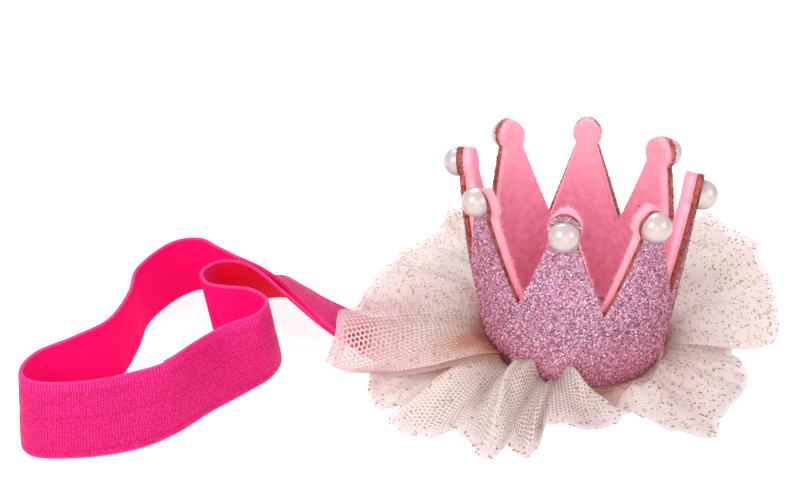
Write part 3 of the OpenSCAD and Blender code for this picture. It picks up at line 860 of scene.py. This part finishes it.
elastic_out, tree, shader = new_material("elastic_ribbed")
uv = flat_place(tree)
width = calc("DIVIDE", axis_of(uv, 1), BAND_W)
knit, ladder = knitted(uv, 0.56, 0.46, 0.95), knitted(uv, 0.62, 20.0, 0.0)
top_border = between(width, 0.875, 0.965, 0.006)
stitch_rows = plus(between(width, 0.515, 0.54, 0.004), between(width, 0.09, 0.11, 0.004))
plain = plus(times(between(width, 0.435, 0.515, 0.012), 0.6), between(width, -0.1, 0.09, 0.006))
not_knit = clamped(plus(plus(top_border, stitch_rows), plain))
relief = plus(times(knit, calc("SUBTRACT", 1.0, not_knit)), times(ladder, top_border))
relief = plus(relief, times(times(ladder, stitch_rows), 0.45))
relief = plus(relief, times(plain, 0.25))
lint = noisy(object_place(tree), 2600.0, 2.0, 0.7)
tone = clamped(calc("MULTIPLY_ADD", calc("SUBTRACT", lint, 0.5), 2.4, relief))
tone = calc("SUBTRACT", tone, times(stitch_rows, calc("MULTIPLY_ADD", ladder, -0.45, 0.5)))
dye = mixed(clamped(tone), colour(182, 0, 72), colour(240, 42, 142))
# Painted shade: in the curl the dye is painted deep red, standing in for light bounced inside the curl.
painted_curl_shade = kept_value(tree, "curl")
feed(shader, {"Base Color": mixed(painted_curl_shade, dye, colour(216, 0, 40)),
              "Roughness": calc("MULTIPLY_ADD", painted_curl_shade, 0.45, 0.55), "Specular IOR Level": 0.25,
              "Specular Tint": (0.5, 0.6, 1.0, 1), "Normal": relief_of(relief, 0.5, 0.00012)})
print("nodes of the ribbed face:", len(tree.nodes))

# %% [markdown]
# Inside, the elastic is brushed smooth and shows only faint fibres. The thin rolled edges are the same
# knit, closer and paler.

# %% Brushed face and rolled edges
elastic_in, tree, shader = new_material("elastic_brushed")
brushed = matted(object_place(tree), 0.35, 6.0, 0.8, (238, 10, 116), (228, 4, 94))
feed(shader, {"Base Color": brushed["Color"], "Roughness": 0.85, "Specular IOR Level": 0.06,
              "Normal": relief_of(brushed["Height"], 0.25, 0.0001)})

elastic_edge, tree, shader = new_material("elastic_edge")
knit = knitted(flat_place(tree), 0.72, 20.0, 0.0)
feed(shader, {"Base Color": mixed(knit, colour(220, 6, 100), colour(236, 36, 136)), "Roughness": 0.7,
              "Sheen Weight": 0.1, "Sheen Tint": colour(255, 190, 225),
              "Normal": relief_of(knit, 0.6, 0.00015)})

# %% Elastic loop
# Rows of the curl where the painted shade and the matt ribs lie.
CURL_SHADE_ROWS = (31, 33, 38.5, 40)
elastic = mesh_piece("elastic_loop", places.reshape(-1, 3), numbers[:, ::-1], uvs[:, ::-1], slots,
                     [elastic_out, elastic_in, elastic_edge])
curl_shade_rows = [run[int(k * ROUTE_STEPS)] for k in CURL_SHADE_ROWS]
point_values(elastic, "curl", np.repeat(np.interp(at, curl_shade_rows, [0, 1, 1, 0]), len(section)))
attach(elastic, "root")
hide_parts("headband")
print("elastic places:", len(elastic.data.vertices))

# %% [markdown]
# ## Tulle
# Each tier of the ruffle is a strip of fine net, gathered at the crown and free at its hem. Its outline
# is a table, one row per fold: the azimuth from the front, how far the hem reaches, how high it lies,
# how much the net swells on its way, and how far the fold turns at the collar.

# %% Hems of the tiers
RUFFLE_R, RUFFLE_H, COLLAR_R = 47.0, 18.0, 20.0
UPPER_HEM = [
    # azimuth, reach, rise, puff, sweep
    (85, 0.935, 0.22, 0.20, -20), (88, 0.965, 0.25, 0.20, -17), (92, 0.985, 0.32, 0.18, -13),
    (97, 1.01, 0.38, 0.14, -9), (102, 1.04, 0.42, 0.10, -5), (108, 1.08, 0.49, 0.08, -2),
    (112, 1.065, 0.66, 0.05, 0), (115, 1.065, 0.85, 0.03, 0), (120, 1.04, 0.85, 0.03, 0),
    (126, 1.015, 0.92, 0.02, 0), (131, 1.03, 0.96, 0.02, 0), (136, 1.00, 0.68, 0.06, 0),
    (150, 0.96, 0.60, 0.06, 0), (180, 0.97, 0.48, 0.06, 0), (198, 1.00, 0.52, 0.06, 0),
    (208, 1.03, 0.68, 0.05, 0), (212, 1.045, 0.66, 0.05, 0), (215.5, 1.045, 0.43, 0.08, 0),
    (221, 1.04, 0.35, 0.10, 0), (230, 1.04, 0.39, 0.10, 0), (240, 1.035, 0.35, 0.14, 0),
    (250, 1.03, 0.32, 0.18, 0), (259, 1.035, 0.33, 0.18, 1), (264, 1.04, 0.38, 0.14, 2),
    (266.5, 1.12, 0.38, 0.14, 3), (270, 1.12, 0.43, 0.14, 4), (274.5, 1.125, 0.38, 0.20, 6),
    (277, 1.145, 0.28, 0.24, 8), (278.5, 1.165, 0.18, 0.27, 10), (280, 1.185, 0.12, 0.28, 12),
    (282, 1.14, 0.12, 0.28, 14), (286, 1.01, 0.14, 0.28, 24)]
LOWER_HEM = [
    (-180, 0.86, 0.30, 0, 0), (-110, 0.82, 0.27, 0, 0), (-92, 0.83, 0.30, 0, 0), (-84, 0.86, 0.30, 0.04, 0),
    (-79, 0.90, 0.22, 0.08, 0), (-75, 0.99, 0.04, 0.13, 0), (-68, 1.03, 0.02, 0.14, 0),
    (-63.5, 1.03, 0.02, 0.14, 0), (-61, 0.93, 0.05, 0.14, 0), (-58, 1.03, 0.02, 0.15, 0),
    (-52, 1.02, 0.02, 0.18, 0), (-47, 0.97, 0.02, 0.18, 0), (-44, 0.86, 0.04, 0.16, 0),
    (-38, 0.87, 0.03, 0.26, 0), (-31.5, 0.92, 0.02, 0.22, 0), (-29.5, 0.90, 0.02, 0.18, 0),
    (-28, 0.79, 0.04, 0.12, 0), (-25, 0.82, 0.02, 0.20, 0), (-21, 0.84, 0.02, 0.24, 0),
    (-18.8, 0.77, 0.04, 0.20, 0), (-17, 0.755, 0.36, 0.16, 0), (-12.5, 0.765, 0.43, 0.18, 0),
    (-1, 0.765, 0.39, 0.06, 0), (4, 0.755, 0.44, 0.06, 0), (8, 0.72, 0.48, 0.04, 0),
    (11, 0.70, 0.44, 0.04, 0), (14, 0.745, 0.44, 0.08, 0), (20, 0.85, 0.44, 0.10, 0),
    (28, 0.935, 0.44, 0.12, 0), (30, 0.915, 0.44, 0.12, 0), (34, 0.865, 0.44, 0.10, 0),
    (42, 0.84, 0.42, 0.08, 0),
    (49, 0.825, 0.39, 0.08, 0), (57, 0.81, 0.33, 0.06, 0), (66, 0.795, 0.27, 0.05, 0),
    (72, 0.765, 0.25, 0.03, 0), (76, 0.72, 0.25, 0.02, 0), (90, 0.72, 0.26, 0, 0), (110, 0.82, 0.28, 0, 0),
    (180, 0.86, 0.30, 0, 0)]
print("rows of the hems:", len(UPPER_HEM), "and", len(LOWER_HEM))

# %% [markdown]
# Between the rows the folds run in smooth waves. On top of them come the ridges that show most in
# front: each starts at the crown's foot at one azimuth and runs to the hem at another, with its own
# width and height, like the crease that a finger presses into the net. Where ridges meet the higher one
# shows, and a bunched ridge closes the net's holes.

# %% Ridges of the tiers
FOLD_STEP, NET_ROWS = 0.6, 44
# how often round the crown and how high in millimetres, then noise: per degree, per way out, height
GATHERS, WAVES = (60, 0.22), (17, 0.2)
SWELL, CREASE = (0.06, 1.7, 1.3), (0.30, 2.4, 0.35)
LOWER_RIDGES = [
    # azimuth at the crown, at the hem, how soon it turns, bow, width left and right of the crest,
    # height at the crown, on the way, bunched
    (-78, -73, 1.3, 0, 5, 5, 1.0, 1.8, 0), (-70, -70, 1.0, 0, 4, 4, -0.5, -1.2, 0),
    (-56, -56, 1.0, -3, 3.0, 6, 2.0, 2.2, 0), (-31, -42, 1.0, 0, 9, 4.5, 4.6, 0.6, 0.3),
    (-36, -36, 1.0, -9.5, 2.6, 1.8, 0, -2.2, 0), (-28, -29, 1.0, -9, 2.2, 3.2, 2.0, 3.4, 0.6),
    (-23, -25, 1.0, 0, 2.0, 2.0, -0.4, -1.2, 0), (-24, -21, 1.5, 0, 2.2, 3.0, 0, 1.6, 0),
    (-14, 8, 1.3, 0, 5.5, 1.9, 4.2, 3.0, 0.5), (6, 9, 1.0, 0, 5, 6, -1.8, -1.6, 0),
    (56, 8, 3.0, 0, 2.4, 11, 1.2, 2.6, 0.6), (66, 40, 1.6, 0, 6, 8, 0.4, 1.0, 0),
    (80, 70, 1.3, 0, 6, 6, 1.0, 0.4, 0)]
UPPER_RIDGES = [
    (96, 100, 1.3, 0, 5, 5, 0.6, 1.0, 0), (118, 120, 1.3, 0, 6, 6, 0.8, 1.0, 0),
    (232, 226, 1.3, 0, 6, 6, 0.8, 1.0, 0), (248, 250, 1.3, 0, 7, 7, 0.6, 1.2, 0),
    (262, 268, 1.3, 0, 5, 5, 0.5, 1.0, 0)]
print("ridges:", len(UPPER_RIDGES), "in the upper tier,", len(LOWER_RIDGES), "in the lower")

# %% [markdown]
# One function lays out a layer from its hem table: smooth waves between the rows, the ridges, fine
# gathers round the crown, and slow noise, so that no two folds are alike.

# %% Folds of a layer


def fold_rows(table):
    """Rows of a tier at most FOLD_STEP degrees apart, with smooth waves between the table's rows."""
    table = np.array(table, float)
    rows = []
    for a, b in zip(table[:-1], table[1:]):
        count = math.ceil((b[0] - a[0]) / FOLD_STEP)
        share = np.arange(count)[:, None] / count
        wave = (1 - np.cos(math.pi * share)) / 2
        rows.append(np.hstack([a[0] + (b[0] - a[0]) * share, a[1:] + (b[1:] - a[1:]) * wave]))
    rows.append(table[-1:])
    return np.concatenate(rows)


def slow_noise(azimuth, u, turn_step, way_step, seed):
    """Smooth noise over a tier, one value for each place."""
    return np.array([[noise.noise(Vector((a * turn_step + seed * 7.3, w * way_step, seed * 3.1)))
                      for w in u[0]] for a in azimuth[:, 0]])


def net_places(rows, start_z, ridges, lift, shrink, seed):
    """A layer of net, a row per fold and a column per ring from collar to hem, and where it is bunched."""
    t = np.linspace(0, 1, NET_ROWS)[None, :]
    u = t ** 1.4
    azimuth, reach, rise, puff, sweep = (rows[:, k:k + 1] for k in range(5))
    radius = COLLAR_R + (reach * RUFFLE_R - COLLAR_R - shrink) * u
    angle = azimuth + sweep * (1 - u ** 1.5)
    z = start_z + (rise * RUFFLE_H - start_z) * u + puff * RUFFLE_H * np.sin(math.pi * u ** 0.6)
    rising = np.minimum(1, t * 8)
    z = z + GATHERS[1] * np.cos(np.radians(azimuth * GATHERS[0] + seed * 40)) * np.exp(-u / 0.2) * rising
    z = z + WAVES[1] * np.cos(np.radians(azimuth * WAVES[0] + seed * 70)) * np.sin(math.pi * u ** 0.7)
    bunched, crest, trough = 0 * z, 0 * z, 0 * z
    for at_crown, at_hem, turn, bow, left, right, high, way, bunch in ridges:
        middle = at_hem + (at_crown - at_hem) * (1 - u) ** turn + bow * np.sin(math.pi * u ** 0.5)
        width = np.where(azimuth < middle, left, right) * (0.75 + 0.4 * u)
        bell = np.exp(-((azimuth - middle) / width) ** 2)
        added = bell * rising * (high * (1 - u) ** 2 + way * np.sin(math.pi * u))
        crest, trough = np.maximum(crest, added), np.minimum(trough, added)
        bunched = np.maximum(bunched, bunch * bell * rising)
    z = z + crest + trough
    z = z + slow_noise(azimuth, u, *SWELL[:2], seed) * SWELL[2] * np.minimum(1, 2 * u) * (1 - 0.4 * u)
    z = z + slow_noise(azimuth, u, *CREASE[:2], seed + 20) * CREASE[2] * np.minimum(1, 3 * u) + lift
    angle = np.radians(angle)
    z = np.maximum(z, 0.15 + lift * 0.5)
    return np.stack([radius * np.sin(angle), -radius * np.cos(angle), z], -1), bunched

# %% [markdown]
# Real tulle is a hexagon net: round holes in staggered rows with fine threads between. The group cuts
# them from the UV map by measuring the distance to the nearest hole's middle. At the folded hem, and
# where layers are glued by the crown, the holes close to a veil.

# %% Net group
net, given, result = new_group(
    "net_holes",
    [("Place", "Vector", None), ("Pitch", "Float", 1.35), ("Hole", "Float", 0.48), ("Veil", "Float", 0.0)],
    [("Alpha", "Float"), ("Height", "Float")])
in_holes = node(net, "VectorMath", {0: given["Place"], "Scale": calc("DIVIDE", 1.0, given["Pitch"])},
                operation="SCALE").outputs[0]
HALF_X, HALF_Y = 0.5, math.sqrt(3) / 2


def hole_distance(shift_x, shift_y):
    """Distance to the nearest hole of one of the two square-set rows that make the staggered net."""
    moved = node(net, "VectorMath", {0: in_holes, 1: (shift_x, shift_y, 0)}, operation="ADD").outputs[0]
    near = node(net, "VectorMath", {0: moved, 1: (HALF_X, HALF_Y, 1), 2: (-HALF_X, -HALF_Y, -1)},
                operation="WRAP").outputs[0]
    return node(net, "VectorMath", {0: near}, operation="LENGTH").outputs["Value"]


nearest = calc("MINIMUM", hole_distance(0, 0), hole_distance(HALF_X, HALF_Y))
threads = remapped(nearest, times(given["Hole"], 0.82), given["Hole"])
feed(result, {"Alpha": calc("MAXIMUM", times(threads, 0.92), given["Veil"]), "Height": threads})
print("net group nodes:", len(net.nodes))

# %% [markdown]
# The threads are ivory with a breath of pink. Near the crown they carry a painted warm shade, peach and
# orange-brown in the creases, and where the flap lies over the elastic, a painted pink light from it.
# Light passes through the net, so part of the shader is translucent and the folds' shade stays pale.
# Where layers lie over each other the eye sees a haze with faint dots: a veil value per place closes
# the holes there, and leaves them open on the single folds in front and on the flap. The backing is
# painted darker under the open folds and the flap, a painted shade that shows through the holes.

# %% Tulle finish
tulle, tree, shader = new_material("tulle_net")
veil = kept_value(tree, "veil")
holes = node(tree, "Group", {"Place": flat_place(tree), "Pitch": 1.35, "Hole": 0.41, "Veil": veil},
             node_tree=net).outputs
patchy = noisy(object_place(tree), 160.0, 3.0)
# Painted warm shade: peach to orange-brown near the crown, strongest in the creases at the left.
warm = times(kept_value(tree, "painted_collar_shade"), remapped(patchy, 0.3, 0.7, 0.6, 1.3))
thread = mixed(veil, mixed(patchy, colour(238, 228, 224), colour(250, 242, 239)),
               mixed(patchy, colour(224, 208, 205), colour(239, 226, 222)))
# Painted light and shade on the threads: warm shade at the collar, darker shade on the backing and pink light
# from the elastic; the hem tint is the net's own.
for share, tint in ((clamped(warm), (206, 122, 80)), (kept_value(tree, "under"), (176, 148, 136)),
                    (kept_value(tree, "hem"), (224, 211, 213)), (kept_value(tree, "painted_pink_light"), (222, 132, 152))):
    thread = mixed(share, thread, colour(*tint))
feed(shader, {"Base Color": thread, "Alpha": holes["Alpha"], "Roughness": 0.6, "Specular IOR Level": 0.3,
              "Sheen Weight": 0.1, "Normal": relief_of(holes["Height"], 0.4, 0.0001)})
glow = node(tree, "BsdfTranslucent", {"Color": thread})
open_part = node(tree, "BsdfTransparent")
glow_net = node(tree, "MixShader", {0: holes["Alpha"], 1: open_part.outputs[0], 2: glow.outputs[0]})
both = node(tree, "MixShader", {0: 0.35, 1: shader.outputs[0], 2: glow_net.outputs[0]})
feed(tree.nodes["Material Output"], {"Surface": both.outputs[0]})
print("nodes of the net:", len(tree.nodes))

# %% [markdown]
# Each tier has two layers of net: a closed backing and an open one over it. What the finish reads is
# kept per place: the painted warm shade near the collar, the veil, the hem, the painted pink light from
# the elastic and the painted shade of the backing. All of it comes from short tables of azimuth and amount.

# %% Tables of the net
UPPER_VEIL = [(85, 0.8), (258, 0.75), (265, 0.6), (269, 0.5), (273, 0.2), (276, 0.0), (286, 0.0)]
LOWER_VEIL = [(-180, 0.85), (-78, 0.8), (-64, 0.6), (-56, 0.4), (-48, 0.15), (-40, 0.0), (8, 0.0),
              (16, 0.5), (24, 0.85), (180, 0.85)]
BACKING = [(-180, 0.9), (264, 0.9), (269, 0.12), (280, 0.12), (283, 0.9), (286, 0.9)]
# Painted shade on the backing, by azimuth: darker where it is seen through the open folds and the flap.
LOWER_PAINTED_SHADE = [(-180, 0.0), (-78, 0.0), (-60, 0.4), (-50, 0.9), (0, 0.9), (14, 0.3), (22, 0.0), (180, 0.0)]
UPPER_PAINTED_SHADE = [(85, 0.0), (262, 0.0), (270, 0.7), (286, 0.7)]
TOP_PAINTED_SHADE = [(0, 0.0)]
# How strong the painted warm shade is round the crown, by azimuth.
WARM = [(0, 1.0), (16, 1.1), (24, 0.5), (90, 0.3), (240, 0.3), (262, 0.5), (276, 0.9), (284, 1.6), (300, 1.6),
        (306, 0.5), (316, 0.1), (350, 0.1), (356, 0.9), (360, 1.0)]
# Painted light: pink light from the elastic on the flap's net, by azimuth.
PAINTED_PINK_LIGHT = [(0, 0.0), (250, 0.0), (260, 0.2), (270, 0.36), (278, 0.3), (286, 0.15), (294, 0.0), (360, 0.0)]
TIERS = {
    # hem, height at the collar, ridges, how many times closer the net lies than its outline, hem's width
    "ruffle_upper": (UPPER_HEM, CROWN_Z, UPPER_RIDGES, 1.3, 2.2),
    "ruffle_lower": (LOWER_HEM, FLOOR_Z, LOWER_RIDGES, 1.9, 3.5)}
print("tiers:", ", ".join(TIERS))

# %% [markdown]
# The UV map is measured on the net itself, along the hem and out from the crown, and evened out over
# a few folds, so that the holes keep their size. On the flap only the outermost part stays open.

# %% Net layer
SLANT, OPEN_FROM, FLAP_FROM, EVEN_HALF = 0.5, 0.86, 200, 14
FLAP_VEIL, HEM_VEIL, COLLAR_VEIL = 0.5, 0.95, 0.9


def from_table(azimuth, table):
    """A table's amount at each azimuth, as a column."""
    return np.interp(azimuth, *zip(*table))[:, None]


def net_layer(seed, name, node_name, lift, shrink, veils, painted_shades):
    """One layer of net of a tier, raised by lift and drawn in by shrink millimetres."""
    hem_rows, start_z, ridges, packed, hem_band = TIERS[node_name]
    rows = fold_rows(hem_rows)
    places, bunched = net_places(rows, start_z, ridges, lift, shrink, seed)
    spans = np.linalg.norm(np.diff(places, axis=1), axis=2)
    out = np.concatenate([np.zeros((len(rows), 1)), np.cumsum(spans, 1)], 1)
    along = np.linalg.norm(np.diff(places[:, NET_ROWS // 2], axis=0), axis=1)
    along = np.concatenate([[0], np.cumsum(along)])
    window = np.ones(2 * EVEN_HALF + 1) / (2 * EVEN_HALF + 1)
    even = np.stack([np.convolve(np.pad(column, EVEN_HALF, mode="edge"), window, "valid")
                     for column in out.T], 1)
    uv_grid = np.stack([along[:, None] * packed + even * SLANT + seed * 0.37,
                        even * packed ** 0.55 + seed * 0.53], -1)
    numbers, corners = grid_quads(len(rows), NET_ROWS)
    piece = mesh_piece(name, places.reshape(-1, 3), numbers, uv_grid[corners[:, :, 0], corners[:, :, 1]],
                       materials=[tulle])
    azimuth = rows[:, 0]
    share = np.repeat(np.linspace(0, 1, NET_ROWS)[None, :], len(rows), 0)
    warmth = from_table(azimuth % 360, WARM)
    hem = np.clip((1 - (out[:, -1:] - out) / hem_band) * 1.6, 0, 1)
    flap = np.clip((OPEN_FROM - share) / 0.08, 0, 1) * (rows[:, :1] > FLAP_FROM)
    collar = np.clip(1.4 - share / 0.12, 0, 1)
    veil = np.maximum.reduce([hem * HEM_VEIL, collar * COLLAR_VEIL, from_table(azimuth, veils) + 0 * share,
                              bunched, flap * FLAP_VEIL])
    # The painted warm shade fades out from the collar, over a span that grows with its strength.
    kept = {"painted_collar_shade": np.clip(1 - share / (0.3 + 0.25 * warmth), 0, 1) * warmth, "hem": hem, "veil": veil,
            "painted_pink_light": from_table(azimuth % 360, PAINTED_PINK_LIGHT) * np.clip((share - 0.45) / 0.25, 0, 1),
            "under": from_table(azimuth, painted_shades) + 0 * share}
    for field, values in kept.items():
        point_values(piece, field, values)
    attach(piece, "root")
    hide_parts(node_name)
    return veil, places

# %% Tulle layers
LAYERS = [("tulle_upper_1", "ruffle_upper", 0.2, 1.2, BACKING, UPPER_PAINTED_SHADE),
          ("tulle_upper_2", "ruffle_upper", 0.9, 0.0, UPPER_VEIL, TOP_PAINTED_SHADE),
          ("tulle_lower_1", "ruffle_lower", 0.0, 0.6, BACKING, LOWER_PAINTED_SHADE),
          ("tulle_lower_2", "ruffle_lower", 0.7, -0.4, LOWER_VEIL, TOP_PAINTED_SHADE)]
layers = [net_layer(seed, *row) for seed, row in enumerate(LAYERS, 1)]

# %% [markdown]
# Inside the crown the gathered net lies flat on the disc and makes its pale floor. At its rim it dips and
# runs out under the crown's foot, where the tiers begin.

# %% Net floor inside the crown
FLOOR_RINGS, FLOOR_R, FLOOR_RIPPLE = 16, COLLAR_R + 0.8, 0.12
DIP_FROM, DIP_RUN, DIP = 14, 5, 0.85
ring_r = np.linspace(0.3, FLOOR_R, FLOOR_RINGS)[:, None]
ring_a = np.radians(np.arange(0, 360, 5))[None, :]
ripple = FLOOR_RIPPLE * np.sin(ring_a * 24) * (ring_r / COLLAR_R)
sunk = DIP * np.clip((ring_r - DIP_FROM) / DIP_RUN, 0, 1)
places = np.stack([ring_r * np.sin(ring_a), -ring_r * np.cos(ring_a), FLOOR_Z + 0.9 - sunk + ripple], -1)
numbers, corners = grid_quads(FLOOR_RINGS, ring_a.shape[1], ring_cols=True)
uvs = np.stack([corners[:, :, 1] * 1.6, corners[:, :, 0] * 1.5], -1)
net_floor = mesh_piece("tulle_floor", places.reshape(-1, 3), numbers, uvs, materials=[tulle])
for field in ("painted_collar_shade", "veil", "under", "hem", "painted_pink_light"):
    point_values(net_floor, field, np.full(len(net_floor.data.vertices), 0.9 if field == "veil" else 0.0))
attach(net_floor, "root")
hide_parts("ruffle_lower")
print("faces of the net floor:", len(net_floor.data.polygons))

# %% [markdown]
# Gold and brown specks are printed all over the net. They are tiny chips of foil, so they are made the
# same way as the glitter's, and lie on the top layer of each tier, where they are seen.

# %% Specks
SPECK_AREA, SPECK_TILT = 1.35, 0.2
GOLD_TONES = [(0.0, (96, 72, 56)), (0.25, (158, 124, 84)), (0.75, (196, 164, 116)), (1.0, (140, 96, 68))]
speck_spots, speck_ups = [], []
for veil, places in (layers[1], layers[3]):
    corner, down, right = places[:-1, :-1], places[1:, :-1], places[:-1, 1:]
    cross = np.cross(down - corner, right - corner)
    size = np.linalg.norm(cross, axis=2)
    count = int(size.sum() / SPECK_AREA)
    often = size * (0.2 + veil[:-1, :-1])
    pick = rng.choice(size.size, count, p=(often / often.sum()).ravel())
    row, col = np.unravel_index(pick, size.shape)
    shift = rng.uniform(0, 1, (2, count, 1))
    up = cross[row, col] / size[row, col][:, None]
    up = up * np.where(up[:, 2:3] < 0, -1, 1)
    speck_spots.append(corner[row, col] + shift[0] * (down - corner)[row, col]
                       + shift[1] * (right - corner)[row, col] + up * 0.08)
    speck_ups.append(up)
speck_spots, speck_ups = np.concatenate(speck_spots), np.concatenate(speck_ups)
speck_radii = rng.uniform(0.12, 0.25, len(speck_spots))
speck_places, speck_faces = chips(speck_spots, speck_ups, speck_radii, SPECK_TILT)
gold, tree, shader = new_material("gold_speck")
tone = toned(node(tree, "NewGeometry").outputs["Random Per Island"], GOLD_TONES)
feed(shader, {"Base Color": tone, "Metallic": 0.2, "Roughness": 0.5})
specks = mesh_piece("tulle_specks", speck_places, speck_faces, materials=[gold], smooth=False)
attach(specks, "root")
print("specks:", len(speck_faces))
